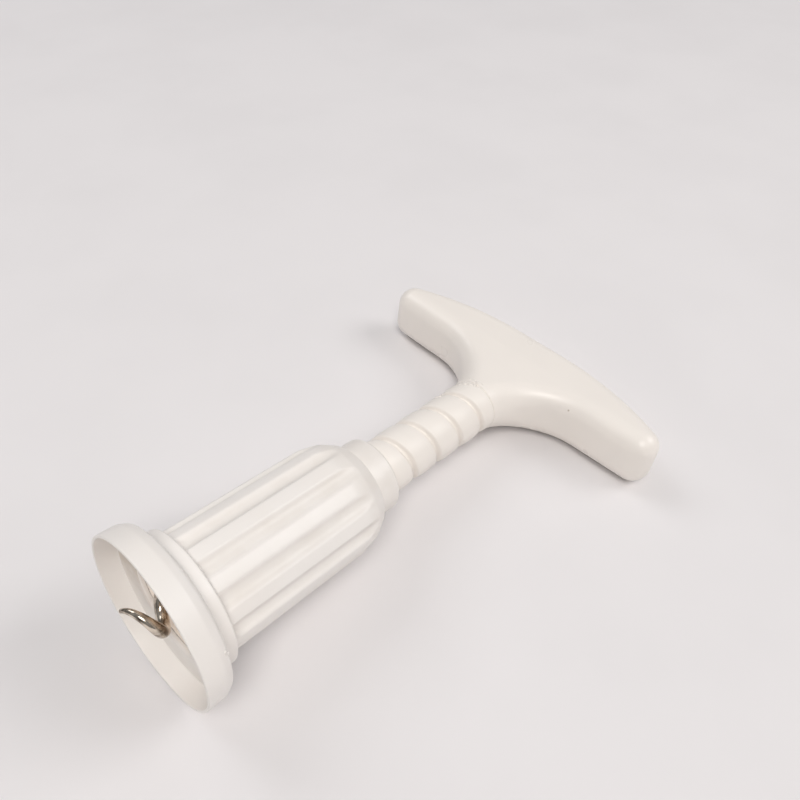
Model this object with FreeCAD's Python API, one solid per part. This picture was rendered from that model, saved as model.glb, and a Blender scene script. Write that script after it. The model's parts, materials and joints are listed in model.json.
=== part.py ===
"""Bell corkscrew with a T handle, lying on a table.

A plastic bell cup rests on the bottle's lip. The fluted barrel turns in the cup and has a nut
in its neck. The nut draws the coarse spindle, the T handle and the steel worm in and out.

Pieces are modelled along the screw axis: Z is the station, measured from the mouth of the bell
towards the handle, and X is up when the corkscrew lies down. The last step lays them on the
table: +Z up, +X from the bell to the handle, the origin below the middle on the table.
Lengths are in millimetres.
"""
import FreeCAD, Part
import math
import os
from FreeCAD import Matrix, Vector

# Bottle and cork that the corkscrew is made for
cork_diameter = 24.0
cork_clearance = 0.6

# Clearances
running_gap = 0.1
snap_gap = 0.3
swivel_gap = 0.2
thread_gap = 0.25
socket_gap = 0.1
shank_gap = 0.05

# Bell cup
rim_radius = 21.95
rim_wall = 1.0
skirt_height = 4.2
mouth_depth = 5.0
mouth_taper = 1.1
flange_thickness = 1.3
bell_corner_inset = 1.45
bell_corner_station = 6.6
collar_bottom = 8.0
collar_wall = 0.7
collar_top = 11.0

# Barrel, which is sleeve, neck and nut in one moulding
bead_height = 1.2
bead_overlap = 0.9
spigot_wall = 1.4
sleeve_wall = 2.5
sleeve_top = 50.0
barrel_shoulder_inset = 1.0
barrel_shoulder_station = 55.0
barrel_shoulder_end_inset = 3.0
neck_bottom = 58.8
neck_radius = 10.3
barrel_top = 66.0
lip_chamfer = 0.7
nut_bottom = 51.0
flute_count = 12
flute_first_angle = 12.0
flute_depth = 0.9
flute_cutter_radius = 1.9

# Screw thread of the spindle and the nut
thread_pitch = 9.25
crest_radius = 7.85
root_radius = 6.55
groove_top_width = 2.6
groove_bottom_width = 1.0
groove_station = 72.34
spindle_bottom = 49.5
tang_width = 8.4
tang_length = 14.0

# T handle
hub_half_width = 9.0
handle_width = 97.5
handle_back = 140.8
back_flat_width = 16.0
handle_depth = 35.3
arm_depth = 18.8
handle_thickness = 17.0
arm_fillet = 16.0
arm_tip_radius = 5.0
handle_edge_chamfer = 2.6

# Worm, a wire helix
wire_diameter = 2.8
worm_radius = 3.9
worm_pitch = 9.25
worm_tip_station = -3.0
worm_tip_angle = -56.0
worm_tip_turns = 0.6
worm_point_diameter = 0.7
worm_helix_end = 38.0
shank_start = 49.0
shank_depth = 20.0
wire_sides = 16
sections_per_turn = 12


def at(radius, station, angle=0.0):
    """Point at a radius and a station, turned round the screw axis by an angle in degrees."""
    turn = math.radians(angle)
    return Vector(radius * math.cos(turn), radius * math.sin(turn), station)


def turned(corners):
    """Solid of revolution from the closed half section through the corners."""
    section = Part.Face(Part.makePolygon(corners))
    return section.revolve(Vector(0, 0, 0), Vector(0, 0, 1), 360)


# Fits that follow from the sizes above
chamber_radius = (cork_diameter + 2 * cork_clearance) / 2
sleeve_radius = chamber_radius + sleeve_wall
spigot_radius = chamber_radius + spigot_wall
bead_radius = spigot_radius + bead_overlap
collar_radius = bead_radius + snap_gap + collar_wall
flange_top = mouth_depth + flange_thickness
barrel_bottom = flange_top + swivel_gap
bead_top = barrel_bottom + bead_height
sleeve_bottom = collar_top + swivel_gap
ring_bottom = bead_top + snap_gap
nut_radius = crest_radius + thread_gap
hub_face = handle_back - handle_depth
arm_front = handle_back - arm_depth


def make_bell_cup():
    """Cup that stands on the bottle, with a ring above its floor that the barrel snaps into."""
    hole = chamber_radius + snap_gap
    inner_rim = rim_radius - rim_wall
    ring = spigot_radius + running_gap
    recess = bead_radius + snap_gap
    corners = [
        at(inner_rim, 0),
        at(rim_radius, 0),
        at(rim_radius, skirt_height),
        at(rim_radius - bell_corner_inset, bell_corner_station),
        at(collar_radius, collar_bottom),
        at(collar_radius, collar_top),
        at(ring, collar_top),
        at(ring, ring_bottom),
        at(recess, ring_bottom),
        at(recess, flange_top),
        at(hole, flange_top),
        at(hole, mouth_depth),
        at(inner_rim - mouth_taper, mouth_depth),
        at(inner_rim, 0),
    ]
    return turned(corners)


def make_barrel():
    """Fluted sleeve over the cork chamber, with a snap bead below and the nut in its neck."""
    barrel = turned(barrel_section()).cut(make_flutes())
    tap = make_screw(nut_radius, root_radius + thread_gap, 2 * thread_gap,
                     nut_bottom - thread_gap, barrel_top + thread_gap)
    return barrel.cut(tap)


def barrel_section():
    """Half section of the barrel before its flutes are cut and its neck is tapped."""
    return [
        at(chamber_radius, barrel_bottom),
        at(bead_radius, barrel_bottom),
        at(bead_radius, bead_top),
        at(spigot_radius, bead_top),
        at(spigot_radius, sleeve_bottom),
        at(sleeve_radius, sleeve_bottom),
        at(sleeve_radius, sleeve_top),
        at(sleeve_radius - barrel_shoulder_inset, barrel_shoulder_station),
        at(sleeve_radius - barrel_shoulder_end_inset, neck_bottom),
        at(neck_radius, neck_bottom),
        at(neck_radius, barrel_top - lip_chamfer),
        at(neck_radius - lip_chamfer, barrel_top),
        at(0, barrel_top),
        at(0, nut_bottom),
        at(chamber_radius, nut_bottom),
        at(chamber_radius, barrel_bottom),
    ]


def make_flutes():
    """Round-nosed cutters along the sleeve, which run out on the shoulder."""
    axis_radius = sleeve_radius + flute_cutter_radius - flute_depth
    flutes = []
    for number in range(flute_count):
        foot = at(axis_radius, collar_top, flute_first_angle + number * 360 / flute_count)
        flutes.append(Part.makeCylinder(flute_cutter_radius, neck_bottom - collar_top, foot))
    return Part.makeCompound(flutes)


def thread_sweep(inner, outer, inner_width, outer_width, bottom, top):
    """Sweep a trapezoid along the thread's helix, right handed, past both stations."""
    turns_down = math.ceil((groove_station - bottom) / thread_pitch)
    start = groove_station - turns_down * thread_pitch
    corners = [
        at(inner, -inner_width / 2),
        at(outer, -outer_width / 2),
        at(outer, outer_width / 2),
        at(inner, inner_width / 2),
        at(inner, -inner_width / 2),
    ]
    helix = Part.makeHelix(thread_pitch, top - start + outer_width, inner)
    sweep = helix.makePipeShell([Part.makePolygon(corners)], True, True)
    sweep.translate(Vector(0, 0, start))
    return sweep


def groove_width(radius):
    """Width of the spindle's groove at a radius."""
    share = (radius - root_radius) / (crest_radius - root_radius)
    return groove_bottom_width + share * (groove_top_width - groove_bottom_width)


def make_screw(crest, root, narrower, bottom, top):
    """Threaded rod between two stations, with a groove narrower than the spindle's by a value."""
    past_crest = crest + 1
    groove = thread_sweep(root, past_crest, groove_width(root) - narrower,
                          groove_width(past_crest) - narrower, bottom, top)
    blank = Part.makeCylinder(crest, top - bottom + 2 * thread_pitch,
                              Vector(0, 0, bottom - thread_pitch))
    ends = Part.makeCylinder(past_crest, top - bottom, Vector(0, 0, bottom))
    return blank.cut(groove).common(ends)


def make_spindle():
    """Coarse screw that the nut drives, with a square tang for the handle and a bore for the worm."""
    screw = make_screw(crest_radius, root_radius, 0, spindle_bottom, hub_face)
    corner = Vector(-tang_width / 2, -tang_width / 2, hub_face - 1)
    tang = Part.makeBox(tang_width, tang_width, tang_length + 1, corner)
    bore = Part.makeCylinder(wire_diameter / 2 + shank_gap, shank_depth + shank_gap,
                             Vector(0, 0, spindle_bottom))
    return screw.fuse(tang).cut(bore)


def handle_outline():
    """Plan outline of the handle: hub, fillets, straight arm fronts, round tips and curved back."""
    tip_y = handle_width / 2 - arm_tip_radius
    tip_z = arm_front + arm_tip_radius
    rise = handle_back - tip_z
    reach = tip_y - back_flat_width / 2
    back_radius = (reach**2 + rise**2 - arm_tip_radius**2) / (2 * (rise - arm_tip_radius))
    tip = Vector(0, tip_y, tip_z)
    back_end = Vector(0, back_flat_width / 2, handle_back)
    back_centre = back_end - Vector(0, 0, back_radius)
    outward = tip - back_centre
    outward.normalize()
    tip_end = tip + outward * arm_tip_radius
    back_side = outward + Vector(0, 0, 1)
    back_side.normalize()
    back_middle = back_centre + back_side * back_radius
    tip_side = outward + Vector(0, 0, -1)
    tip_side.normalize()
    fillet_centre = Vector(0, hub_half_width + arm_fillet, arm_front - arm_fillet)
    fillet_side = Vector(0, -1, 1)
    fillet_side.normalize()

    def mirrored(point):
        return Vector(0, -point.y, point.z)

    hub = Vector(0, hub_half_width, hub_face)
    hub_end = Vector(0, hub_half_width, arm_front - arm_fillet)
    fillet_middle = fillet_centre + fillet_side * arm_fillet
    front = Vector(0, fillet_centre.y, arm_front)
    front_end = Vector(0, tip_y, arm_front)
    tip_middle = tip + tip_side * arm_tip_radius
    edges = [Part.makeLine(mirrored(hub), hub), Part.makeLine(mirrored(back_end), back_end)]
    for place in (lambda point: point, mirrored):
        edges += [
            Part.makeLine(place(hub), place(hub_end)),
            Part.Arc(place(hub_end), place(fillet_middle), place(front)).toShape(),
            Part.makeLine(place(front), place(front_end)),
            Part.Arc(place(front_end), place(tip_middle), place(tip_end)).toShape(),
            Part.Arc(place(tip_end), place(back_middle), place(back_end)).toShape(),
        ]
    return Part.Wire(Part.__sortEdges__(edges))


def make_handle():
    """T handle with bevelled edges and a square socket for the spindle's tang."""
    handle = Part.Face(handle_outline()).extrude(Vector(handle_thickness, 0, 0))
    handle.translate(Vector(-handle_thickness / 2, 0, 0))
    rim = []
    for edge in handle.Edges:
        middle = edge.CenterOfMass
        if abs(abs(middle.x) - handle_thickness / 2) < 1e-6 and middle.z > hub_face + 1e-6:
            rim.append(edge)
    handle = handle.makeChamfer(handle_edge_chamfer, rim)
    width = tang_width + 2 * socket_gap
    corner = Vector(-width / 2, -width / 2, hub_face)
    return handle.cut(Part.makeBox(width, width, tang_length + socket_gap, corner))


def worm_centre(station):
    """Centre of the wire at a station: on the helix, then drawn in to the screw axis."""
    angle = worm_tip_angle + 360 * (station - worm_tip_station) / worm_pitch
    share = (station - worm_helix_end) / (shank_start - worm_helix_end)
    share = min(max(share, 0), 1)
    return at(worm_radius * (1 + math.cos(math.pi * share)) / 2, station, angle)


def wire_radius(station):
    """Radius of the wire at a station, which grows from the point over the taper."""
    share = (station - worm_tip_station) / (worm_tip_turns * worm_pitch)
    point = worm_point_diameter / 2
    return point + (wire_diameter / 2 - point) * math.sqrt(min(share, 1))


def wire_section(station):
    """Many-sided section of the wire, square to its path, with the area of the round wire."""
    centre = worm_centre(station)
    step = worm_pitch / 1000
    along = worm_centre(station + step) - worm_centre(station - step)
    along.normalize()
    outward = at(1, 0, worm_tip_angle + 360 * (station - worm_tip_station) / worm_pitch)
    across = outward - along * outward.dot(along)
    across.normalize()
    side = along.cross(across)
    half = math.pi / wire_sides
    radius = wire_radius(station) * math.sqrt(half * 2 / math.sin(half * 2))
    corners = []
    for number in range(wire_sides + 1):
        turn = 2 * half * number
        corners.append(centre + (across * math.cos(turn) + side * math.sin(turn)) * radius)
    return Part.makePolygon(corners)


def make_worm():
    """Wire helix with a tapered point, drawn in to the axis and running up into the spindle."""
    step = worm_pitch / sections_per_turn
    count = round((shank_start - worm_tip_station) / step)
    stations = [worm_tip_station + number * step for number in range(count)]
    sections = [wire_section(station) for station in stations + [shank_start]]
    wire = Part.makeLoft(sections, True, True)
    shank_length = spindle_bottom + shank_depth - shank_start
    shank = Part.makeCylinder(wire_diameter / 2, shank_length, Vector(0, 0, shank_start))
    print("least gap between turns", round(least_turn_gap(), 2))
    return wire.fuse(shank)


def least_turn_gap():
    """Least distance between the surfaces of two neighbouring turns of the worm."""
    start = worm_centre(worm_tip_station)
    gaps = []
    for step in range(sections_per_turn // 2, 2 * sections_per_turn):
        other = worm_centre(worm_tip_station + step * worm_pitch / sections_per_turn)
        gaps.append(start.distanceToPoint(other))
    return min(gaps) - wire_diameter


def lying(piece, lean):
    """Copy of a piece with the screw axis laid down, leaning by an angle in radians."""
    sine = math.sin(lean)
    cosine = math.cos(lean)
    return piece.transformed(Matrix(sine, 0, cosine, 0, 0, -1, 0, 0, cosine, 0, -sine, 0, 0, 0, 0, 1))


def lowest(piece, lean):
    """Height of the lowest point of a piece that lies down."""
    return lying(piece, lean).optimalBoundingBox(False, False).ZMin


def lay_down(pieces):
    """Lean the pieces until cup and handle touch the table, and set the origin below the middle."""
    lean = math.atan2(rim_radius - handle_thickness / 2, handle_back)
    for _ in range(4):
        gap = lowest(pieces["handle"], lean) - lowest(pieces["bell_cup"], lean)
        lean += gap / handle_back
    laid = {name: lying(piece, lean) for name, piece in pieces.items()}
    box = Part.makeCompound(list(laid.values())).optimalBoundingBox(False, False)
    move = Vector(-box.Center.x, -box.Center.y, -box.ZMin)
    for piece in laid.values():
        piece.translate(move)
    print("lean", round(math.degrees(lean), 4), "move", [round(value, 4) for value in move])
    return laid


def main():
    os.makedirs("parts", exist_ok=True)
    pieces = {
        "bell_cup": make_bell_cup(),
        "barrel": make_barrel(),
        "spindle": make_spindle(),
        "handle": make_handle(),
        "worm": make_worm(),
    }
    for name, piece in lay_down(pieces).items():
        print(name, piece.isValid(), len(piece.Solids), round(piece.Volume, 1), len(piece.Faces))
        piece.exportStep(f"parts/{name}.step")


main()
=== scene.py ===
"""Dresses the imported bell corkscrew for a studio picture.

Every piece is shaped along the screw axis first: Z is the station, measured from the mouth of the
bell towards the handle, and X is up when the corkscrew lies down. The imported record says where
that axis lies on the table, and each finished mesh is laid there.
"""
import json
import math
import random

import bmesh
import bpy
from bpy.props import FloatProperty, FloatVectorProperty, IntProperty, PointerProperty
from mathutils import Matrix, Vector


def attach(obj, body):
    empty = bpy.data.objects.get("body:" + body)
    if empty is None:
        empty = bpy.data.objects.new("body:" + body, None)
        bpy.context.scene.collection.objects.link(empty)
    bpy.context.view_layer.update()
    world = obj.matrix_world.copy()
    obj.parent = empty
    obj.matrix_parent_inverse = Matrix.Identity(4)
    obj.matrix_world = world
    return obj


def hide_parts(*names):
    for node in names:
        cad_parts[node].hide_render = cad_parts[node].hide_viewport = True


bl_info = {
    "name": "Bell corkscrew",
    "version": (1, 0, 0),
    "blender": (4, 5, 0),
    "location": "3D View > Sidebar > Corkscrew",
    "description": "Makes the pieces of a plastic bell corkscrew and a studio to show them in",
    "category": "Object",
}

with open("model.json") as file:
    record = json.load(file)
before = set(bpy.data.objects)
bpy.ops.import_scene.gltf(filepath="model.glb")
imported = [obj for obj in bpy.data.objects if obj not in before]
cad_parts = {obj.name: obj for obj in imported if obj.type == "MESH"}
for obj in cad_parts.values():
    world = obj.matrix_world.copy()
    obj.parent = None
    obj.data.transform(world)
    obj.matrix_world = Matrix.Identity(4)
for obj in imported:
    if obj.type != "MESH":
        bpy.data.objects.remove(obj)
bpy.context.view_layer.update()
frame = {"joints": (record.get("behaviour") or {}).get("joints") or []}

MM = 0.001
JOINT_STATION = 30 * MM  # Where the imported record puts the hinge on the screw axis
COLUMNS = 288  # Faces round the bell and the barrel
SPINDLE_COLUMNS = 160  # Faces round the spindle, whose rows lie closer together
WORM_STEPS = 420  # Points along the worm's wire
WORM_SIDES = 24  # Faces round the worm's wire
FILLET_STEP = math.radians(12)  # Turn between two points on a fillet of a half section
ARC_STEP = 0.7 * MM  # Distance between two points on the handle's outline
MERGE = 1e-7  # Points closer than this, in metres, are one point
TINY = 0.001 * MM  # Lengths below this count as none


def length(name, description, millimetres):
    """Property that holds a length, given here in millimetres."""
    return FloatProperty(name=name, description=description, default=millimetres * MM,
                         unit="LENGTH", precision=5)


def angle(name, description, degrees):
    """Property that holds an angle, given here in degrees."""
    return FloatProperty(name=name, description=description, default=math.radians(degrees),
                         unit="ROTATION")


def number(name, description, value):
    """Property that holds a plain number."""
    return FloatProperty(name=name, description=description, default=value)


def colour(name, description, value):
    """Property that holds a linear colour."""
    return FloatVectorProperty(name=name, description=description, default=value,
                               subtype="COLOR", size=3, min=0, max=1)


class BellSizes(bpy.types.PropertyGroup):
    rim_radius: length("Rim radius", "Outer radius of the bell at its mouth", 21.95)
    skirt_radius: length("Skirt radius", "Outer radius at the top of the skirt", 21.8)
    skirt_height: length("Skirt height", "Height of the skirt up to its rounded corner", 4.6)
    corner_radius: length("Corner radius", "Radius where the skirt becomes the shoulder", 20.85)
    corner_station: length("Corner station", "Station of the end of the rounded corner", 6.7)
    rim_wall: length("Rim wall", "Thickness of the skirt at the mouth", 0.75)
    mouth_depth: length("Mouth depth", "Depth of the floor that rests on the bottle", 5.0)
    floor_radius: length("Floor radius", "Radius of the floor inside the skirt", 20.5)
    hole_radius: length("Hole radius", "Radius of the opening for the cork", 12.7)
    flange: length("Flange", "Thickness of the floor", 1.3)
    collar_station: length("Collar station", "Station where the shoulder meets the collar", 8.0)
    collar_radius: length("Collar radius", "Outer radius of the collar", 17.0)
    collar_top: length("Collar top", "Station of the collar's upper face", 10.95)
    ring_radius: length("Ring radius", "Inner radius of the ring that holds the barrel", 14.1)
    recess_radius: length("Recess radius", "Radius of the recess for the barrel's bead", 15.2)


class BarrelSizes(bpy.types.PropertyGroup):
    chamber_radius: length("Chamber radius", "Bore that takes the cork", 12.6)
    bottom: length("Bottom", "Station of the barrel's lower face", 6.4)
    bead_radius: length("Bead radius", "Radius of the bead that snaps into the bell", 14.9)
    bead_top: length("Bead top", "Station of the bead's upper face", 7.7)
    spigot_radius: length("Spigot radius", "Radius that turns in the bell's ring", 14.0)
    sleeve_bottom: length("Sleeve bottom", "Station of the sleeve's lower face", 11.2)
    foot_radius: length("Foot radius", "Radius of the sleeve at the collar", 15.3)
    sleeve_radius: length("Sleeve radius", "Radius of the sleeve below the shoulder", 15.15)
    sleeve_top: length("Sleeve top", "Station where the shoulder begins", 50.6)
    shoulder_radius: length("Shoulder radius", "Radius in the middle of the shoulder", 14.1)
    shoulder_station: length("Shoulder station", "Station in the middle of the shoulder", 55.2)
    shoulder_end: length("Shoulder end", "Radius of the shoulder at the neck", 12.0)
    neck_bottom: length("Neck bottom", "Station where the neck begins", 58.8)
    neck_radius: length("Neck radius", "Outer radius of the neck", 10.25)
    top: length("Top", "Station of the neck's lip", 66.0)
    nut_bottom: length("Nut bottom", "Station of the roof over the cork", 51.0)
    flutes: IntProperty(name="Flutes", description="Number of flutes round the sleeve", default=12)
    first_flute: angle("First flute", "Angle of the first flute from the top", 20)
    flute_depth: length("Flute depth", "Depth of a flute in the sleeve", 1.05)
    flute_radius: length("Flute radius", "Radius of a flute's round floor", 2.8)
    flute_edge: length("Flute edge", "Softness of a flute's edges", 0.45)


class ThreadSizes(bpy.types.PropertyGroup):
    pitch: length("Pitch", "Rise of the thread in one turn", 9.25)
    crest_radius: length("Crest radius", "Outer radius of the spindle", 7.85)
    root_radius: length("Root radius", "Radius at the floor of the groove", 6.55)
    top_width: length("Groove top", "Width of the groove at the crest", 2.4)
    bottom_width: length("Groove floor", "Width of the groove at its floor", 0.5)
    crown: length("Crown", "Rise of the crest's middle over its edges", 0.4)
    station: length("Groove station", "Station of the groove on the upper side", 72.4)
    gap: length("Thread gap", "Gap between the spindle and the nut", 0.25)
    bottom: length("Spindle bottom", "Station of the spindle's lower end", 49.5)
    hub_face: length("Hub face", "Station where the spindle meets the handle", 107.4)
    tang_width: length("Tang width", "Width of the square tang in the hub", 8.4)
    tang_length: length("Tang length", "Length of the square tang", 12.1)
    bore_radius: length("Bore radius", "Radius of the bore for the worm's shank", 1.45)
    bore_depth: length("Bore depth", "Depth of the bore for the worm's shank", 20.05)


class HandleSizes(bpy.types.PropertyGroup):
    hub_radius: length("Hub radius", "Radius of the hub's round front", 8.0)
    hub_corner: length("Hub corner", "Rounding of the hub's front edge", 0.5)
    hub_length: length("Hub length", "Length over which the round hub turns into flat arms", 13.0)
    width: length("Width", "Width of the handle over both arms", 97.5)
    back: length("Back", "Station of the handle's back", 140.8)
    back_flat: length("Back flat", "Width of the straight part of the back", 16.0)
    front: length("Arm front", "Station of the arms' front beside the hub", 122.0)
    front_rise: length("Front rise", "Rise of the arms' front towards their ends", 0.4)
    fillet: length("Fillet", "Radius between the hub and an arm", 20.0)
    tip: length("Tip", "Radius of an arm's end", 5.3)
    thickness: length("Thickness", "Thickness of the handle", 17.0)
    edge: length("Edge", "Rounding of the arms' edges", 5.0)
    socket_gap: length("Socket gap", "Gap round the tang in its socket", 0.1)


class WormSizes(bpy.types.PropertyGroup):
    wire: length("Wire", "Diameter of the wire", 2.8)
    radius: length("Radius", "Radius of the helix to the wire's centre", 4.3)
    pitch: length("Pitch", "Rise of the helix in one turn", 11.2)
    lean: length("Lean", "How far the worm's point leans aside", -1.7)
    tip: length("Tip", "Station of the point", -2.95)
    tip_angle: angle("Tip angle", "Angle of the point from the top", -43)
    taper: length("Taper", "Length of the ground point along the axis", 5.0)
    point: length("Point", "Diameter of the wire at the point", 1.0)
    helix_end: length("Helix end", "Station where the wire turns in to the axis", 38.0)
    shank_start: length("Shank start", "Station where the straight shank begins", 49.0)
    shank_end: length("Shank end", "Station of the shank's end in the spindle", 69.5)


class Colours(bpy.types.PropertyGroup):
    plastic: colour("Plastic", "White of the bell and the barrel", (0.91, 0.875, 0.84))
    cream: colour("Cream", "Warmer white of the spindle and the handle", (0.92, 0.87, 0.815))
    shade: colour("Shade", "Slightly darker clouds in the mouldings", (0.885, 0.835, 0.785))
    # Colour of the specks and grit, of the darker flutes and grooves, and of the painted shade on
    # the bell's floor
    dust_and_shade: colour("Dust", "Dust in flutes and grooves", (0.62, 0.55, 0.47))
    # Painted glow inside the barrel's chamber, standing in for light through its thin wall
    painted_glow: colour("Glow", "Light that shines through the barrel's wall", (0.17, 0.13, 0.10))
    wire: colour("Wire", "Bright nickel of the worm", (0.80, 0.71, 0.60))
    # Dark film on the worm: partly tarnish, partly painted dark reflections
    tarnish_and_reflection: colour("Tarnish", "Darker film on the worm", (0.09, 0.065, 0.045))
    table: colour("Table", "Pale table top", (0.82, 0.80, 0.807))


class StageSettings(bpy.types.PropertyGroup):
    lens: number("Lens", "Focal length of the camera in millimetres", 33.114)
    azimuth: angle("Azimuth", "Direction that the camera looks from", -46.77)
    elevation: angle("Elevation", "Height of the camera over the table as an angle", 46.018)
    roll: angle("Roll", "Turn of the picture about its middle", 1.933)
    place: FloatVectorProperty(name="Place", description="Where the camera stands", size=3,
                               default=(-0.08615, -0.08714, 0.16820), subtype="XYZ", unit="LENGTH")
    sky: number("Sky", "Strength of the even light all round", 0.28)
    key: number("Key", "Power of the lamp over the camera in watts", 20.8)
    right: number("Right", "Power of the lamp on the right in watts", 9.3)
    left: number("Left", "Power of the lamp behind on the left in watts", 6.2)


class CorkscrewSettings(bpy.types.PropertyGroup):
    bell: PointerProperty(type=BellSizes)
    barrel: PointerProperty(type=BarrelSizes)
    thread: PointerProperty(type=ThreadSizes)
    handle: PointerProperty(type=HandleSizes)
    worm: PointerProperty(type=WormSizes)
    colours: PointerProperty(type=Colours)
    stage: PointerProperty(type=StageSettings)


# Shapes

def rounded(corners):
    """Closed outline through corners of (x, y, fillet radius).

    A point lies close to each end of a fillet, so that the shading of the flats stays flat.
    """
    guard = 0.06 * MM
    outline = []
    for index, (x, y, radius) in enumerate(corners):
        corner = Vector((x, y))
        before = Vector(corners[index - 1][:2]) - corner
        after = Vector(corners[(index + 1) % len(corners)][:2]) - corner
        if radius == 0:
            outline.append(corner)
            continue
        inside = before.angle(after)
        reach = radius / math.tan(inside / 2)
        before.normalize()
        after.normalize()
        centre = corner + (before + after).normalized() * radius / math.sin(inside / 2)
        outline.append(corner + before * (reach + guard))
        start = corner + before * reach - centre
        end = corner + after * reach - centre
        sweep = math.atan2(start.x * end.y - start.y * end.x, start.dot(end))
        steps = max(3, math.ceil(abs(sweep) / FILLET_STEP))
        for step in range(steps + 1):
            outline.append(centre + Matrix.Rotation(sweep * step / steps, 2) @ start)
        outline.append(corner + after * (reach + guard))
    return outline


def divided(outline, spacing, fine_radius=0.0, fine_spacing=None):
    """Closed outline with extra points, so that neighbours lie no further apart than the spacing.

    Inside the fine radius, the fine spacing holds.
    """
    fine = []
    for index, point in enumerate(outline):
        ahead = outline[(index + 1) % len(outline)]
        limit = fine_spacing if max(point.x, ahead.x) < fine_radius else spacing
        steps = max(1, math.ceil((ahead - point).length / limit))
        for step in range(steps):
            fine.append(point.lerp(ahead, step / steps))
    return fine


def lathe(name, section, columns=COLUMNS):
    """Object turned about Z from a closed half section of (radius, station) points."""
    work = bmesh.new()
    rings = []
    for radius, station in section:
        ring = []
        for column in range(columns):
            turn = 2 * math.pi * column / columns
            ring.append(work.verts.new((radius * math.cos(turn), radius * math.sin(turn), station)))
        rings.append(ring)
    for row, ring in enumerate(rings):
        above = rings[(row + 1) % len(rings)]
        for column in range(columns):
            following = (column + 1) % columns
            work.faces.new((ring[column], ring[following], above[following], above[column]))
    return finished(name, work)


def placed(name, data):
    """Object with the given data, linked to the scene."""
    made = bpy.data.objects.new(name, data)
    bpy.context.scene.collection.objects.link(made)
    return made


def finished(name, work):
    """Smooth object from a bmesh, with doubles merged and its faces turned outwards."""
    bmesh.ops.remove_doubles(work, verts=work.verts, dist=MERGE)
    bmesh.ops.dissolve_degenerate(work, edges=work.edges, dist=MERGE)
    loose = [vert for vert in work.verts if not vert.link_faces]
    bmesh.ops.delete(work, geom=loose, context="VERTS")
    bmesh.ops.recalc_face_normals(work, faces=work.faces)
    for face in work.faces:
        face.smooth = True
    mesh = bpy.data.meshes.new(name)
    work.to_mesh(mesh)
    work.free()
    return placed(name, mesh)


def screw_axis():
    """Place of the bell's mouth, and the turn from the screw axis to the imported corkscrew."""
    joint = next(joint for joint in frame["joints"] if joint["type"] == "hinge")
    along = Vector(joint["axis"]).normalized()
    mouth = Vector(joint["pos_m"]) - along * JOINT_STATION
    across = Vector((0, -1, 0))
    return mouth, Matrix((across.cross(along), across, along)).transposed()


def lay_down(piece):
    """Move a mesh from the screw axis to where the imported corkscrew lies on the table."""
    mouth, turn = screw_axis()
    piece.data.transform(Matrix.Translation(mouth) @ turn.to_4x4())
    piece.data.update()


def hand_over(piece, material, node, body):
    """Lay the piece down, paint it, hide the imported node that it replaces and hang it under its
    body.
    """
    lay_down(piece)
    if not piece.data.materials:
        piece.data.materials.append(material)
    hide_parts(node)
    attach(piece, body)


# Node trees

def feed(tree, socket, value):
    """Give a socket a plain value, or link another node's output to it."""
    if isinstance(value, bpy.types.NodeSocket):
        tree.links.new(value, socket)
    else:
        socket.default_value = value


def add(tree, kind, inputs=None, **settings):
    """Add a node with its settings and its inputs by name or number, and return it."""
    made = tree.nodes.new(kind)
    for name, value in settings.items():
        setattr(made, name, value)
    for name, value in (inputs or {}).items():
        feed(tree, made.inputs[name], value)
    return made


def calc(tree, operation, *values):
    """Add a Math node and return its result."""
    made = add(tree, "ShaderNodeMath", dict(enumerate(values)), operation=operation)
    return made.outputs[0]


def plus(tree, first, second):
    """Sum of two numbers."""
    return calc(tree, "ADD", first, second)


def minus(tree, first, second):
    """First number less the second."""
    return calc(tree, "SUBTRACT", first, second)


def times(tree, first, second):
    """Product of two numbers."""
    return calc(tree, "MULTIPLY", first, second)


def parts(tree, vector):
    """X, Y and Z of a vector, by name."""
    return add(tree, "ShaderNodeSeparateXYZ", {0: vector}).outputs


def joined(tree, x, y, z=0.0):
    """Vector from its three parts."""
    return add(tree, "ShaderNodeCombineXYZ", {"X": x, "Y": y, "Z": z}).outputs[0]


def remap(tree, value, low, high, bottom, top, kind="SMOOTHSTEP"):
    """Add a Map Range node from low..high to bottom..top and return its result."""
    made = add(tree, "ShaderNodeMapRange", {
        "Value": value, "From Min": low, "From Max": high, "To Min": bottom, "To Max": top,
    }, interpolation_type=kind)
    return made.outputs["Result"]


def floats(*names):
    """Number sockets with the given names."""
    return dict.fromkeys(names, "NodeSocketFloat")


def new_tree(name, kind, inputs, outputs):
    """Node group with sockets given as {name: type}, and its input and output nodes."""
    tree = bpy.data.node_groups.new(name, kind)
    for way, sockets in (("INPUT", inputs), ("OUTPUT", outputs)):
        for label, socket_type in sockets.items():
            tree.interface.new_socket(label, in_out=way, socket_type=socket_type)
    return tree, tree.nodes.new("NodeGroupInput").outputs, tree.nodes.new("NodeGroupOutput").inputs


def shape_tree(name, inputs):
    """Geometry tree that takes a geometry, the given inputs and a material."""
    geometry = {"Geometry": "NodeSocketGeometry"}
    return new_tree(name, "GeometryNodeTree",
                    {**geometry, **inputs, "Material": "NodeSocketMaterial"}, geometry)


def pattern_tree(name, inputs, outputs):
    """Shader tree that takes coordinates and the given inputs."""
    return new_tree(name, "ShaderNodeTree", {"Vector": "NodeSocketVector", **inputs}, outputs)


def shared(name):
    """Node group by name, made the first time that it is asked for."""
    return bpy.data.node_groups.get(name) or MAKERS[name]()


def end_tree(tree, given, result, geometry):
    """Close a geometry tree with real geometry, smooth faces and the material, and return it."""
    real = add(tree, "GeometryNodeRealizeInstances", {"Geometry": geometry})
    smooth = add(tree, "GeometryNodeSetShadeSmooth", {"Geometry": real.outputs[0]})
    painted = add(tree, "GeometryNodeSetMaterial",
                  {"Geometry": smooth.outputs[0], "Material": given["Material"]})
    feed(tree, result["Geometry"], painted.outputs[0])
    return tree


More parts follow.
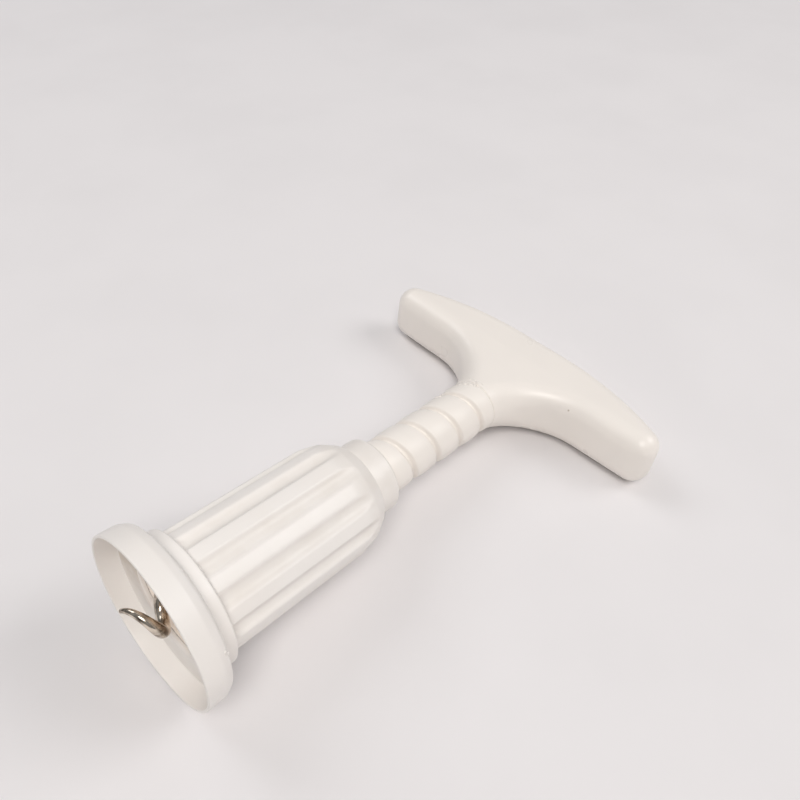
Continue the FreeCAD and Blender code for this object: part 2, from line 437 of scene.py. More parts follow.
def run_tree(piece, name, values):
    """Run a geometry tree on a piece and keep what it makes as the piece's plain mesh."""
    tree = shared(name)
    modifier = piece.modifiers.new(name, "NODES")
    modifier.node_group = tree
    for item in tree.interface.items_tree:
        if item.item_type == "SOCKET" and item.in_out == "INPUT" and item.name in values:
            modifier[item.identifier] = values[item.name]
    graph = bpy.context.evaluated_depsgraph_get()
    made = bpy.data.meshes.new_from_object(piece.evaluated_get(graph))
    piece.modifiers.remove(modifier)
    old = piece.data
    piece.data = made
    bpy.data.meshes.remove(old)


def polar(tree):
    """Radius, angle and station of each point of the geometry."""
    place = parts(tree, add(tree, "GeometryNodeInputPosition").outputs[0])
    squares = plus(tree, times(tree, place["X"], place["X"]), times(tree, place["Y"], place["Y"]))
    return calc(tree, "SQRT", squares), calc(tree, "ARCTAN2", place["Y"], place["X"]), place["Z"]


def from_polar(tree, radius, turn, station):
    """Place at a radius, an angle and a station."""
    return joined(tree, times(tree, radius, calc(tree, "COSINE", turn)),
                  times(tree, radius, calc(tree, "SINE", turn)), station)


def at_radius(tree, geometry, radius, turn, station):
    """Move each point to a new radius, and merge the points that meet."""
    moved = add(tree, "GeometryNodeSetPosition", {
        "Geometry": geometry, "Position": from_polar(tree, radius, turn, station)})
    merged = add(tree, "GeometryNodeMergeByDistance",
                 {"Geometry": moved.outputs[0], "Distance": 0.002 * MM})
    return merged.outputs[0]


def flute_tree():
    """Geometry tree that presses round-floored flutes into a turned sleeve."""
    tree, given, result = shape_tree("Flutes", {"Count": "NodeSocketInt", **floats(
        "First Angle", "Depth", "Floor Radius", "Sleeve Radius", "Edge", "Foot")})
    radius, turn, station = polar(tree)
    share = calc(tree, "DIVIDE", 2 * math.pi, given["Count"])
    steps = calc(tree, "DIVIDE", minus(tree, turn, given["First Angle"]), share)
    aside = times(tree, share, minus(tree, steps, calc(tree, "ROUND", steps)))
    axis = minus(tree, plus(tree, given["Sleeve Radius"], given["Floor Radius"]), given["Depth"])
    sideways = times(tree, axis, calc(tree, "SINE", aside))
    room = minus(tree, calc(tree, "POWER", given["Floor Radius"], 2),
                 calc(tree, "POWER", calc(tree, "ABSOLUTE", sideways), 2))
    floor = minus(tree, times(tree, axis, calc(tree, "COSINE", aside)),
                  calc(tree, "SQRT", calc(tree, "MAXIMUM", room, 0)))
    pressed = calc(tree, "SMOOTH_MIN", radius, floor, given["Edge"])
    above = calc(tree, "GREATER_THAN", station, given["Foot"])
    new_radius = plus(tree, radius, times(tree, above, minus(tree, pressed, radius)))
    pressed_in = at_radius(tree, given["Geometry"], new_radius, turn, station)
    return end_tree(tree, given, result, pressed_in)


def thread_tree():
    """Geometry tree that cuts a right-handed screw thread into a rod, or into a bore when told."""
    tree, given, result = shape_tree("Screw thread", {"Bore": "NodeSocketBool", **floats(
        "Pitch", "Crest Radius", "Root Radius", "Top Width", "Bottom Width", "Crown", "Station")})
    radius, turn, station = polar(tree)
    rise = calc(tree, "DIVIDE", minus(tree, station, given["Station"]), given["Pitch"])
    turns = minus(tree, rise, calc(tree, "DIVIDE", turn, 2 * math.pi))
    aside = calc(tree, "ABSOLUTE", minus(tree, turns, calc(tree, "ROUND", turns)))
    lift = remap(tree, times(tree, aside, given["Pitch"]), times(tree, given["Bottom Width"], 0.5),
                 times(tree, given["Top Width"], 0.5), 0.0, 1.0)
    fall = calc(tree, "POWER", minus(tree, 1.0, times(tree, aside, 2.0)), 2.0)
    crest = minus(tree, given["Crest Radius"], times(tree, given["Crown"], fall))
    height = times(tree, lift, minus(tree, crest, given["Root Radius"]))
    form = plus(tree, given["Root Radius"], height)
    choice = add(tree, "GeometryNodeSwitch", {
        "Switch": given["Bore"],
        "False": calc(tree, "MINIMUM", radius, form),
        "True": calc(tree, "MAXIMUM", radius, form),
    }, input_type="FLOAT")
    cut = at_radius(tree, given["Geometry"], choice.outputs[0], turn, station)
    return end_tree(tree, given, result, cut)


def worm_tree():
    """Geometry tree that bends a wire into a helix with a ground point and a straight shank."""
    tree, given, result = shape_tree("Worm", floats(
        "Radius", "Pitch", "Lean", "Tip", "Tip Angle", "Taper", "Point Radius", "Wire Radius",
        "Helix End", "Shank Start", "Shank End"))
    line = add(tree, "GeometryNodeCurvePrimitiveLine")
    wire = add(tree, "GeometryNodeResampleCurve", {"Curve": line.outputs[0], "Count": WORM_STEPS})
    share = add(tree, "GeometryNodeSplineParameter").outputs["Factor"]
    travel = times(tree, share, minus(tree, given["Shank End"], given["Tip"]))
    station = plus(tree, travel, given["Tip"])
    turn = plus(tree, given["Tip Angle"],
                times(tree, calc(tree, "DIVIDE", travel, given["Pitch"]), 2 * math.pi))
    inward = remap(tree, station, given["Helix End"], given["Shank Start"], 0.0, math.pi, "LINEAR")
    shrink = times(tree, plus(tree, calc(tree, "COSINE", inward), 1.0), 0.5)
    coiled = from_polar(tree, times(tree, given["Radius"], shrink), turn, station)
    aside = remap(tree, station, given["Tip"], given["Helix End"], given["Lean"], 0.0, "LINEAR")
    bent = add(tree, "GeometryNodeSetPosition", {
        "Geometry": wire.outputs[0], "Position": coiled, "Offset": joined(tree, 0.0, aside)})
    ground = calc(tree, "MINIMUM", calc(tree, "DIVIDE", travel, given["Taper"]), 1.0)
    thickness = plus(tree, given["Point Radius"], times(
        tree, ground, minus(tree, given["Wire Radius"], given["Point Radius"])))
    sized = add(tree, "GeometryNodeSetCurveRadius", {"Curve": bent.outputs[0], "Radius": thickness})
    round_section = add(tree, "GeometryNodeCurvePrimitiveCircle",
                        {"Resolution": WORM_SIDES, "Radius": 1.0})
    tube = add(tree, "GeometryNodeCurveToMesh", {
        "Curve": sized.outputs[0], "Profile Curve": round_section.outputs[0],
        "Scale": add(tree, "GeometryNodeInputRadius").outputs[0], "Fill Caps": True})
    return end_tree(tree, given, result, tube.outputs[0])


# Finishes

def noise(tree, vector, scale, detail=2.0, roughness=0.5):
    """Noise from 0 to 1."""
    return add(tree, "ShaderNodeTexNoise", {"Vector": vector, "Scale": scale, "Detail": detail,
                                            "Roughness": roughness}).outputs[0]


def mix_colour(tree, share, first, second):
    """Mix of two colours by a mask."""
    mixed = add(tree, "ShaderNodeMix", {0: share, 6: first, 7: second}, data_type="RGBA")
    return mixed.outputs[2]


def cloud_group():
    """Soft clouds between two colours, as in moulded plastic."""
    tree, given, result = pattern_tree("Moulding clouds", {
        "Colour": "NodeSocketColor", "Shade": "NodeSocketColor", **floats("Scale", "Amount"),
    }, {"Colour": "NodeSocketColor"})
    share = remap(tree, noise(tree, given["Vector"], given["Scale"], 3.0, 0.55), 0.35, 0.7, 0.0,
                  given["Amount"])
    feed(tree, result["Colour"], mix_colour(tree, share, given["Colour"], given["Shade"]))
    return tree


def skin_group():
    """Uneven gloss and fine relief of a moulded or drawn surface."""
    tree, given, result = pattern_tree("Uneven skin", floats("Scale", "Roughness", "Spread"),
                                       floats("Roughness", "Height"))
    broad = noise(tree, given["Vector"], times(tree, given["Scale"], 0.12))
    swing = times(tree, minus(tree, broad, 0.5), given["Spread"])
    feed(tree, result["Roughness"], plus(tree, given["Roughness"], swing))
    feed(tree, result["Height"], noise(tree, given["Vector"], given["Scale"], 3.0, 0.6))
    return tree


def speck_group():
    """Mask of sparse small specks, such as grit pressed into the surface."""
    tree, given, result = pattern_tree("Specks", floats("Scale", "Size", "Share"), floats("Mask"))
    cells = add(tree, "ShaderNodeTexVoronoi", {"Vector": given["Vector"], "Scale": given["Scale"]})
    near = remap(tree, cells.outputs["Distance"], 0.0, given["Size"], 1.0, 0.0)
    chance = add(tree, "ShaderNodeSeparateColor", {0: cells.outputs["Color"]}).outputs[0]
    chosen = calc(tree, "LESS_THAN", chance, given["Share"])
    feed(tree, result["Mask"], times(tree, near, chosen))
    return tree


def hollow_group():
    """Patchy mask of what lies deeper than the surface round the screw axis."""
    tree, given, result = pattern_tree("Hollows", floats("Floor", "Surface"), floats("Mask"))
    place = parts(tree, given["Vector"])
    flat = joined(tree, place["X"], place["Y"])
    radius = add(tree, "ShaderNodeVectorMath", {0: flat}, operation="LENGTH").outputs["Value"]
    patchy = remap(tree, noise(tree, given["Vector"], 180.0), 0.3, 0.75, 0.45, 1.0)
    depth = remap(tree, radius, given["Floor"], given["Surface"], 1.0, 0.0)
    feed(tree, result["Mask"], times(tree, depth, patchy))
    return tree


MAKERS = {
    "Flutes": flute_tree,
    "Screw thread": thread_tree,
    "Worm": worm_tree,
    "Moulding clouds": cloud_group,
    "Uneven skin": skin_group,
    "Specks": speck_group,
    "Hollows": hollow_group,
}


def group(tree, name, place, **inputs):
    """Use a shared node group at the given coordinates, and return its outputs."""
    return add(tree, "ShaderNodeGroup", {"Vector": place, **inputs}, node_tree=shared(name)).outputs


def opaque(value):
    """Colour with full opacity from three numbers."""
    return (*value, 1.0)


def new_material(name):
    """Material with its tree, its shader and the object's coordinates."""
    material = bpy.data.materials.new(name)
    material.use_nodes = True
    tree = material.node_tree
    place = add(tree, "ShaderNodeTexCoord").outputs["Object"]
    return material, tree, tree.nodes["Principled BSDF"], place


def axis_material(name):
    """Material with its tree, its shader and coordinates measured along the screw axis."""
    material, tree, shader, place = new_material(name)
    mouth, turn = screw_axis()
    mapped = add(tree, "ShaderNodeMapping", {
        "Vector": place, "Location": mouth, "Rotation": turn.to_euler()}, vector_type="TEXTURE")
    return material, tree, shader, mapped.outputs[0]


def stretched(tree, vector, scale):
    """Coordinates squeezed or stretched along each axis."""
    return add(tree, "ShaderNodeMapping", {"Vector": vector, "Scale": scale}).outputs[0]


def clouds_over(tree, place, first, second, scale, amount):
    """Clouds of a second colour over a first."""
    return group(tree, "Moulding clouds", place, Colour=opaque(first), Shade=opaque(second),
                 Scale=scale, Amount=amount)["Colour"]


def bore_mask(tree, place, radius, end):
    """Mask of the inside of a bore, up to an end station."""
    inside = group(tree, "Hollows", place, Floor=radius, Surface=radius + 0.2 * MM)["Mask"]
    return times(tree, inside, calc(tree, "LESS_THAN", parts(tree, place)["Z"], end))


def add_skin(tree, shader, place, scale, gloss, spread, relief, strength, depth):
    """Give a shader an uneven gloss and a fine relief, with more relief added to it."""
    skin = group(tree, "Uneven skin", place, Scale=scale, Roughness=gloss, Spread=spread)
    feed(tree, shader.inputs["Roughness"], skin["Roughness"])
    height = plus(tree, skin["Height"], relief)
    bump = add(tree, "ShaderNodeBump", {"Height": height, "Strength": strength, "Distance": depth})
    feed(tree, shader.inputs["Normal"], bump.outputs[0])


def plastic(name, tone, floor=0.0, surface=0.0, clouds=45.0, gloss=0.36, lit=None, floor_shade=None,
            grit=None):
    """Warm white moulded plastic with clouds, specks, darker hollows and an uneven skin.

    The tone is the name of a colour in the settings. Light shines through thin walls, so a bore
    given as lit=(radius, end station) gets a faint painted glow. A bore given as (radius, end
    station) for the painted shade on a floor is darkened, most of all at the top. One dark grain of
    grit may be given by its place.
    """
    colours = bpy.context.scene.corkscrew.colours
    material, tree, shader, place = axis_material(name)
    specks = group(tree, "Specks", place, Scale=330.0, Size=0.045, Share=0.02)["Mask"]
    marks = [(specks, 0.25)]  # Masks of specks, darker hollows, painted shade and grit, and how strongly each one shows
    if surface:
        hollows = group(tree, "Hollows", place, Floor=floor, Surface=surface)["Mask"]
        marks.append((hollows, 0.18))
    # Painted shade on a floor inside a bore, darker towards the top
    if floor_shade:
        top_shade = remap(tree, parts(tree, place)["X"], -14 * MM, 0.0, 0.15, 1.0)
        marks.append((bore_mask(tree, place, *floor_shade), top_shade))
    if grit:
        away = add(tree, "ShaderNodeVectorMath", {0: place, 1: grit}, operation="DISTANCE")
        marks.append((remap(tree, away.outputs["Value"], 0.15 * MM, 0.4 * MM, 1.0, 0.0), 1.0))
    base = clouds_over(tree, place, getattr(colours, tone), colours.shade, clouds, amount=0.5)
    for mask, strength in marks:
        base = mix_colour(tree, times(tree, mask, strength), base, opaque(colours.dust_and_shade))
    feed(tree, shader.inputs["Base Color"], base)
    # Painted glow: a faint emission inside the lit bore stands in for light through the thin wall
    if lit:
        feed(tree, shader.inputs["Emission Color"], mix_colour(
            tree, bore_mask(tree, place, *lit), opaque((0, 0, 0)), opaque(colours.painted_glow)))
        shader.inputs["Emission Strength"].default_value = 1.0
    drag = times(tree, noise(tree, stretched(tree, place, (1.0, 1.0, 0.12)), 700.0), 0.8)
    add_skin(tree, shader, place, scale=900.0, gloss=gloss, spread=0.3, relief=drag,
             strength=0.25, depth=0.06 * MM)
    shader.inputs["IOR"].default_value = 1.5
    return material


def nickel(name):
    """Bright nickelled wire with a patchy film and fine marks from drawing and winding.

    The dark film and spots are partly tarnish and partly painted dark reflections.
    """
    colours = bpy.context.scene.corkscrew.colours
    material, tree, shader, place = axis_material(name)
    # Dark patches and spots, partly tarnish and partly painted dark reflections
    film = clouds_over(tree, place, colours.wire, colours.tarnish_and_reflection, scale=380.0, amount=0.9)
    specks = group(tree, "Specks", place, Scale=900.0, Size=0.16, Share=0.2)["Mask"]
    feed(tree, shader.inputs["Base Color"],
         mix_colour(tree, times(tree, specks, 0.6), film, opaque(colours.tarnish_and_reflection)))
    drawn = stretched(tree, place, (1.0, 1.0, 3.0))
    add_skin(tree, shader, drawn, scale=1500.0, gloss=0.1, spread=0.12, relief=0.0,
             strength=0.3, depth=0.05 * MM)
    shader.inputs["Metallic"].default_value = 1.0
    return material


# Pieces

def cut_thread(piece, thread, material, gap=0.0, crown=0.0, bore=False):
    """Cut the screw thread into a piece, wider all round by a gap."""
    depth = thread.crest_radius - thread.root_radius
    wider = ((thread.top_width - thread.bottom_width) / depth - 2) * gap
    run_tree(piece, "Screw thread", {
        "Pitch": thread.pitch, "Crest Radius": thread.crest_radius + gap,
        "Root Radius": thread.root_radius + gap, "Top Width": thread.top_width + wider,
        "Bottom Width": thread.bottom_width + wider, "Crown": crown,
        "Station": thread.station, "Bore": bore, "Material": material,
    })


def add_crumbs(work, crumbs):
    """Add irregular crumbs of flash, the same at each run."""
    chance = random.Random(5)
    for turn, station, radius, size in crumbs:
        place = (Matrix.Rotation(math.radians(turn), 4, "Z")
                 @ Matrix.Translation((radius * MM, 0, station * MM))
                 @ Matrix.Diagonal((*(reach * MM for reach in size), 1)))
        made = bmesh.ops.create_icosphere(work, subdivisions=2, radius=1.0)
        for vert in made["verts"]:
            vert.co = place @ (vert.co * chance.uniform(0.65, 1.1))
        for face in {face for vert in made["verts"] for face in vert.link_faces}:
            face.smooth = True


def add_flash(piece, crumbs):
    """Add crumbs of flash to a finished piece."""
    work = bmesh.new()
    work.from_mesh(piece.data)
    add_crumbs(work, crumbs)
    work.to_mesh(piece.data)
    work.free()


# Flash is crumbs of (angle, station, radius, size out, round and along) in degrees and mm
BELL_GATE = (
    (69, 6.1, 21.05, (0.3, 0.6, 0.5)),
    (71, 6.5, 20.95, (0.25, 0.4, 0.4)),
)


class CORKSCREW_OT_bell(bpy.types.Operator):
    """Turn the bell cup with its thin rim, rounded corner, collar and snap ring"""
    bl_idname = "corkscrew.bell"
    bl_label = "Bell cup"

    def execute(self, context):
        size = context.scene.corkscrew.bell
        inner = size.rim_radius - size.rim_wall
        seat = size.mouth_depth + size.flange
        section = rounded([
            (inner, 0, 0.25 * MM),
            (size.rim_radius, 0, 0.3 * MM),
            (size.skirt_radius, size.skirt_height, 2.2 * MM),
            (size.corner_radius, size.corner_station, 1.4 * MM),
            (size.collar_radius, size.collar_station, 0.3 * MM),
            (size.collar_radius, size.collar_top, 0.6 * MM),
            (size.ring_radius, size.collar_top, 0.25 * MM),
            (size.ring_radius, size.collar_station, 0.15 * MM),
            (size.recess_radius, size.collar_station, 0.1 * MM),
            (size.recess_radius, seat, 0.2 * MM),
            (size.hole_radius, seat, 0.05 * MM),
            (size.hole_radius, size.mouth_depth, 0.9 * MM),
            (size.floor_radius, size.mouth_depth, 0.15 * MM),
        ])
        piece = lathe("bell_cup_moulding", divided(section, 1.5 * MM))
        add_flash(piece, BELL_GATE)
        # Floor of the mouth, which gets painted shade that is darker towards the top
        floor = (size.floor_radius - 0.4 * MM, size.mouth_depth + 0.3 * MM)
        material = plastic("Bell plastic", "plastic", clouds=38.0, floor_shade=floor)
        hand_over(piece, material, "bell_cup", "cup")
        return {"FINISHED"}


class CORKSCREW_OT_barrel(bpy.types.Operator):
    """Turn the barrel, press its flutes and tap the nut in its neck"""
    bl_idname = "corkscrew.barrel"
    bl_label = "Fluted barrel"

    def execute(self, context):
        size = context.scene.corkscrew.barrel
        thread = context.scene.corkscrew.thread
        nut_root = thread.root_radius + thread.gap
        section = rounded([
            (size.chamber_radius, size.bottom, 0.1 * MM),
            (size.bead_radius, size.bottom, 0.4 * MM),
            (size.bead_radius, size.bead_top, 0.3 * MM),
            (size.spigot_radius, size.bead_top, 0.2 * MM),
            (size.spigot_radius, size.sleeve_bottom, 0.2 * MM),
            (size.foot_radius, size.sleeve_bottom, 0.3 * MM),
            (size.sleeve_radius, size.sleeve_top, 9.0 * MM),
            (size.shoulder_radius, size.shoulder_station, 4.0 * MM),
            (size.shoulder_end, size.neck_bottom, 0.6 * MM),
            (size.neck_radius, size.neck_bottom, 0.5 * MM),
            (size.neck_radius, size.top, 0.8 * MM),
            (nut_root, size.top, 0.2 * MM),
            (nut_root, size.nut_bottom, 0.2 * MM),
            (size.chamber_radius, size.nut_bottom, 0.8 * MM),
        ])
        section = divided(section, 1.0 * MM, thread.crest_radius, 0.32 * MM)
        piece = lathe("barrel_moulding", section)
        # The chamber gets a faint painted glow for the light through its thin wall
        material = plastic("Barrel plastic", "plastic",
                           size.sleeve_radius - 0.8 * size.flute_depth, size.sleeve_radius,
                           lit=(size.chamber_radius, size.nut_bottom + MM))
        run_tree(piece, "Flutes", {
            "Count": size.flutes, "First Angle": size.first_flute, "Depth": size.flute_depth,
            "Floor Radius": size.flute_radius, "Sleeve Radius": size.sleeve_radius,
            "Edge": size.flute_edge, "Foot": size.sleeve_bottom - 0.1 * MM, "Material": material,
        })
        cut_thread(piece, thread, material, gap=thread.gap, bore=True)
        hand_over(piece, material, "barrel", "barrel")
        return {"FINISHED"}


SPINDLE_FLASH = (
    (-47, 96.4, 7.72, (0.3, 0.8, 0.8)),
    (-40, 96.9, 7.7, (0.3, 0.6, 0.5)),
    (-33, 104.6, 7.75, (0.3, 0.7, 0.9)),
    (-24, 105.6, 7.8, (0.4, 0.9, 0.6)),
    (-12, 106.3, 7.75, (0.35, 0.8, 0.9)),
    (-3, 106.7, 7.7, (0.4, 0.6, 0.6)),
    (6, 106.9, 7.7, (0.3, 0.9, 0.4)),
    (62, 97.2, 7.7, (0.25, 0.5, 0.3)),
    (101, 80.4, 7.65, (0.3, 0.5, 0.3)),
)


class CORKSCREW_OT_spindle(bpy.types.Operator):
    """Cut the coarse thread of the spindle and add its square tang"""
    bl_idname = "corkscrew.spindle"
    bl_label = "Spindle"

    def execute(self, context):
        size = context.scene.corkscrew.thread
        section = rounded([
            (size.bore_radius, size.bottom, 0.2 * MM),
            (size.crest_radius, size.bottom, 0.5 * MM),
            (size.crest_radius, size.hub_face, 0.3 * MM),
            (0, size.hub_face, 0),
            (0, size.bottom + size.bore_depth, 0),
            (size.bore_radius, size.bottom + size.bore_depth, 0),
        ])
        piece = lathe("spindle_moulding", divided(section, 0.22 * MM), SPINDLE_COLUMNS)
        material = plastic("Spindle plastic", "cream", size.root_radius, size.crest_radius,
                           clouds=70.0, gloss=0.42)
        cut_thread(piece, size, material, crown=size.crown)
        add_tang(piece, size)
        hand_over(piece, material, "spindle", "screw")
        return {"FINISHED"}


def add_tang(piece, size):
    """Add the square tang, a hair into the spindle's end face, and the flash of the moulding."""
    work = bmesh.new()
    work.from_mesh(piece.data)
    middle = size.hub_face + size.tang_length / 2
    place = Matrix.Translation((0, 0, middle)) @ Matrix.Diagonal(
        (size.tang_width, size.tang_width, size.tang_length + 0.02 * MM, 1))
    made = bmesh.ops.create_cube(work, size=1.0, matrix=place)
    edges = dict.fromkeys(edge for vert in made["verts"] for edge in vert.link_edges)
    bmesh.ops.bevel(work, geom=list(edges), offset=0.4 * MM, segments=2, affect="EDGES")
    add_crumbs(work, SPINDLE_FLASH)
    work.to_mesh(piece.data)
    work.free()


HUB_FLASH = (
    (-27, 108.2, 7.85, (0.4, 0.8, 0.6)),
    (-16, 108.6, 7.9, (0.35, 0.9, 0.7)),
    (-5, 108.3, 7.85, (0.4, 0.7, 0.6)),
    (7, 108.7, 7.9, (0.3, 0.9, 0.5)),
)


class CORKSCREW_OT_handle(bpy.types.Operator):
    """Build the T handle from its plan outline, with rounded edges and a square socket"""
    bl_idname = "corkscrew.handle"
    bl_label = "T handle"

    def execute(self, context):
        size = context.scene.corkscrew.handle
        thread = context.scene.corkscrew.thread
        socket = thread.tang_width / 2 + size.socket_gap
        outline = handle_outline(size, thread.hub_face, socket)
        turns = range(0, 91, 9)
        levels = [(turn, -1) for turn in reversed(turns)] + [(turn, 1) for turn in turns]
        work = bmesh.new()
        rows = [handle_row(work, outline, size, thread.hub_face, socket, math.radians(turn), side)
                for turn, side in levels]
        for lower, upper in zip(rows, rows[1:]):
            for index in range(len(outline) - 1):
                work.faces.new((lower[index], lower[index + 1], upper[index + 1], upper[index]))
        for row in (rows[0], rows[-1]):
            for index in range(len(outline) // 2 - 1):
                work.faces.new((row[index], row[index + 1], row[-index - 2], row[-index - 1]))
        sink_socket(work, rows, thread.tang_length + size.socket_gap)
        add_crumbs(work, HUB_FLASH)
        piece = finished("handle_moulding", work)
        material = plastic("Handle plastic", "cream", clouds=32.0, gloss=0.33,
                           grit=(5.36 * MM, 22.72 * MM, 121.9 * MM))
        hand_over(piece, material, "handle", "screw")
        return {"FINISHED"}


def arc(centre, radius, start, end):
    """Points and outward directions on an arc between two angles in degrees."""
    steps = max(4, math.ceil(radius * math.radians(abs(end - start)) / ARC_STEP))
    points = []
    for step in range(steps + 1):
        turn = math.radians(start + (end - start) * step / steps)
        way = Vector((math.cos(turn), math.sin(turn)))
        points.append((Vector(centre) + way * radius, way if end > start else -way))
    return points


def handle_outline(size, hub_face, socket):
    """Plan outline of the handle as (y, station) points with their outward directions."""
    corner = size.hub_corner
    low = size.front - size.fillet
    start = math.asin((hub_face + corner - low) / size.fillet)
    hollow = Vector((size.hub_radius + size.fillet * math.cos(start), low))
    tip = Vector((size.width / 2 - size.tip, size.front + size.front_rise + size.tip))
    apart = tip - hollow
    tilt = math.degrees(math.atan2(apart.y, apart.x)
                        - math.asin((size.fillet + size.tip) / apart.length))
    rise = size.back - tip.y
    reach = tip.x - size.back_flat / 2
    back_radius = (reach**2 + rise**2 - size.tip**2) / (2 * (rise - size.tip))
    back_centre = Vector((size.back_flat / 2, size.back - back_radius))
    toward_tip = math.degrees(math.atan2(tip.y - back_centre.y, tip.x - back_centre.x))
    right = [(Vector((socket, hub_face)), Vector((0, -1)))]
    right += arc((size.hub_radius - corner, hub_face + corner), corner, -90, 0)
    right += arc(hollow, size.fillet, 180 - math.degrees(start), 90 + tilt)[1:]
    right += arc(tip, size.tip, -90 + tilt, toward_tip)
    right += arc(back_centre, back_radius, toward_tip, 90)[1:]
    mirror = Matrix.Diagonal((-1, 1))
    return right + [(mirror @ place, mirror @ way) for place, way in reversed(right)]


def handle_row(work, outline, size, hub_face, socket, turn, side):
    """Row of vertices along the handle's outline, part of the way over its rounded edge."""
    row = []
    for place, way in outline:
        behind = place.y - hub_face - size.hub_corner
        if behind < TINY:
            radius = abs(place.x)
            if radius < socket + TINY:
                radius = socket / max(math.cos(turn), math.sin(turn))
            y = math.copysign(radius * math.cos(turn), place.x)
            row.append(work.verts.new((side * radius * math.sin(turn), y, place.y)))
            continue
        share = min(behind / size.hub_length, 1)
        share = share * share * (3 - 2 * share)
        edge = size.hub_radius + (size.edge - size.hub_radius) * share
        half = size.hub_radius + (size.thickness / 2 - size.hub_radius) * share
        sideways = Vector((math.copysign(1, place.x), 0))
        point = place - sideways.lerp(way, share).normalized() * edge * (1 - math.cos(turn))
        row.append(work.verts.new((side * (half - edge * (1 - math.sin(turn))), point.x, point.y)))
    return row


def sink_socket(work, rows, depth):
    """Sink the square socket for the tang behind the hub's round front."""
    mouth = [row[0] for row in rows] + [row[-1] for row in reversed(rows)]
    deep = [work.verts.new(vert.co + Vector((0, 0, depth))) for vert in mouth]
    for index in range(len(mouth)):
        work.faces.new((mouth[index - 1], mouth[index], deep[index], deep[index - 1]))
    work.faces.new(deep)


class CORKSCREW_OT_worm(bpy.types.Operator):
    """Bend the steel worm with its ground point"""
    bl_idname = "corkscrew.worm"
    bl_label = "Worm"

    def execute(self, context):
        size = context.scene.corkscrew.worm
        material = nickel("Nickelled wire")
        piece = finished("worm_wire", bmesh.new())
        run_tree(piece, "Worm", {
            "Radius": size.radius, "Pitch": size.pitch, "Lean": size.lean, "Tip": size.tip,
            "Tip Angle": size.tip_angle, "Taper": size.taper, "Point Radius": size.point / 2,
            "Wire Radius": size.wire / 2, "Helix End": size.helix_end,
            "Shank Start": size.shank_start, "Shank End": size.shank_end, "Material": material,
        })
        hand_over(piece, material, "worm", "screw")
        return {"FINISHED"}


# Stage

# Lamps as name, place, size and tint; the stage's setting of that name is the power
LAMPS = (
    ("Key", (-0.74, -0.70, 1.84), 0.95, (1.0, 0.96, 0.92)),
    ("Right", (1.01, -0.89, 1.20), 0.85, (1.0, 0.98, 0.97)),
    ("Left", (-0.14, 1.22, 1.32), 0.85, (0.98, 0.98, 1.0)),
)


class CORKSCREW_OT_stage(bpy.types.Operator):
    """Set up the pale table, the soft lamps and the camera"""
    bl_idname = "corkscrew.stage"
    bl_label = "Stage"

    def execute(self, context):
        settings = context.scene.corkscrew.stage
        add_table(context.scene.corkscrew.colours.table)
        add_sky(settings.sky)
        for name, place, size, tint in LAMPS:
            add_lamp(name, place, size, getattr(settings, name.lower()), tint)
        add_camera(settings)
        context.scene.view_settings.view_transform = "Standard"
        return {"FINISHED"}


def add_table(tone):
    """Wide pale table top with faint clouds and the finest grain."""
    work = bmesh.new()
    bmesh.ops.create_grid(work, x_segments=1, y_segments=1, size=3.0)
    table = finished("table", work)
    material, tree, shader, place = new_material("Table top")
    shaded = tuple(value * 0.975 for value in tone)
    feed(tree, shader.inputs["Base Color"], clouds_over(
        tree, place, tone, shaded, scale=14.0, amount=1.0))
    skin = group(tree, "Uneven skin", place, Scale=260.0, Roughness=0.75, Spread=0.1)
    feed(tree, shader.inputs["Roughness"], skin["Roughness"])
    shader.inputs["Specular IOR Level"].default_value = 0.2
    table.data.materials.append(material)


def add_sky(strength):
    """Pale light from all round, strongest from above."""
    world = bpy.data.worlds.new("Studio")
    bpy.context.scene.world = world
    world.use_nodes = True
    tree = world.node_tree
    way = add(tree, "ShaderNodeTexCoord").outputs["Generated"]
    background = tree.nodes["Background"]
    background.inputs["Color"].default_value = (0.98, 0.985, 1.0, 1.0)
    feed(tree, background.inputs["Strength"],
         remap(tree, parts(tree, way)["Z"], 0.0, 0.9, 0.8 * strength, strength))


def add_lamp(name, place, size, power, tint):
    """Square soft lamp that faces the corkscrew."""
    data = bpy.data.lights.new(name, "AREA")
    data.color = tint
    data.size = size
    data.energy = power
    lamp = placed(name, data)
    lamp.location = place
    lamp.rotation_euler = (-Vector(place)).to_track_quat("-Z", "Y").to_euler()


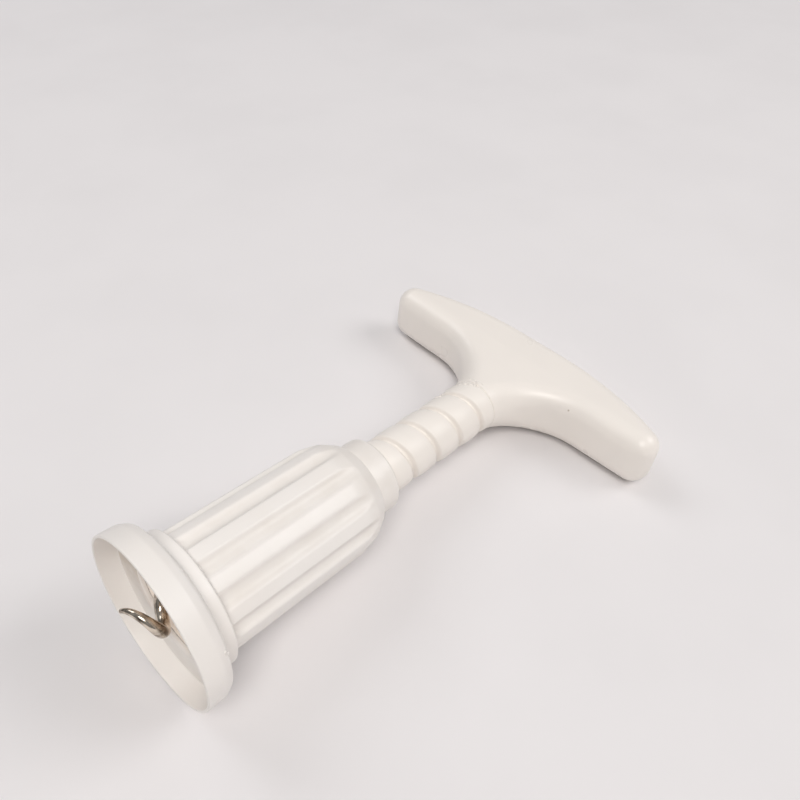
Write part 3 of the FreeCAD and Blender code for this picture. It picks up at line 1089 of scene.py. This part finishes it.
def add_camera(settings):
    """Camera at the angle of the picture."""
    azimuth, elevation, roll = settings.azimuth, settings.elevation, settings.roll
    back = Vector((math.sin(azimuth) * math.cos(elevation),
                   -math.cos(azimuth) * math.cos(elevation), math.sin(elevation)))
    right = Vector((0, 0, 1)).cross(back).normalized()
    up = back.cross(right)
    turned_right = right * math.cos(roll) + up * math.sin(roll)
    turned_up = up * math.cos(roll) - right * math.sin(roll)
    data = bpy.data.cameras.new("Camera")
    data.sensor_width = 36.0
    data.lens = settings.lens
    data.clip_start = 0.005
    camera = placed("Camera", data)
    camera.matrix_world = (Matrix.Translation(settings.place)
                           @ Matrix((turned_right, turned_up, back)).transposed().to_4x4())
    bpy.context.scene.camera = camera


class CORKSCREW_PT_panel(bpy.types.Panel):
    """Buttons and sizes of the corkscrew"""
    bl_idname = "CORKSCREW_PT_panel"
    bl_label = "Corkscrew"
    bl_space_type = "VIEW_3D"
    bl_region_type = "UI"
    bl_category = "Corkscrew"

    def draw(self, context):
        settings = context.scene.corkscrew
        for operator in OPERATORS:
            self.layout.operator(operator.bl_idname)
        for name in settings.__annotations__:
            box = self.layout.box()
            box.label(text=name.capitalize())
            part = getattr(settings, name)
            for key in part.__annotations__:
                box.prop(part, key)


OPERATORS = (
    CORKSCREW_OT_bell,
    CORKSCREW_OT_barrel,
    CORKSCREW_OT_spindle,
    CORKSCREW_OT_handle,
    CORKSCREW_OT_worm,
    CORKSCREW_OT_stage,
)

CLASSES = (
    BellSizes,
    BarrelSizes,
    ThreadSizes,
    HandleSizes,
    WormSizes,
    Colours,
    StageSettings,
    CorkscrewSettings,
    *OPERATORS,
    CORKSCREW_PT_panel,
)


def register():
    for entry in CLASSES:
        bpy.utils.register_class(entry)
    bpy.types.Scene.corkscrew = PointerProperty(type=CorkscrewSettings)


def unregister():
    del bpy.types.Scene.corkscrew
    for entry in reversed(CLASSES):
        bpy.utils.unregister_class(entry)


def main():
    register()
    bpy.ops.corkscrew.bell()
    bpy.ops.corkscrew.barrel()
    bpy.ops.corkscrew.spindle()
    bpy.ops.corkscrew.handle()
    bpy.ops.corkscrew.worm()
    bpy.ops.corkscrew.stage()


if __name__ == "__main__":
    main()
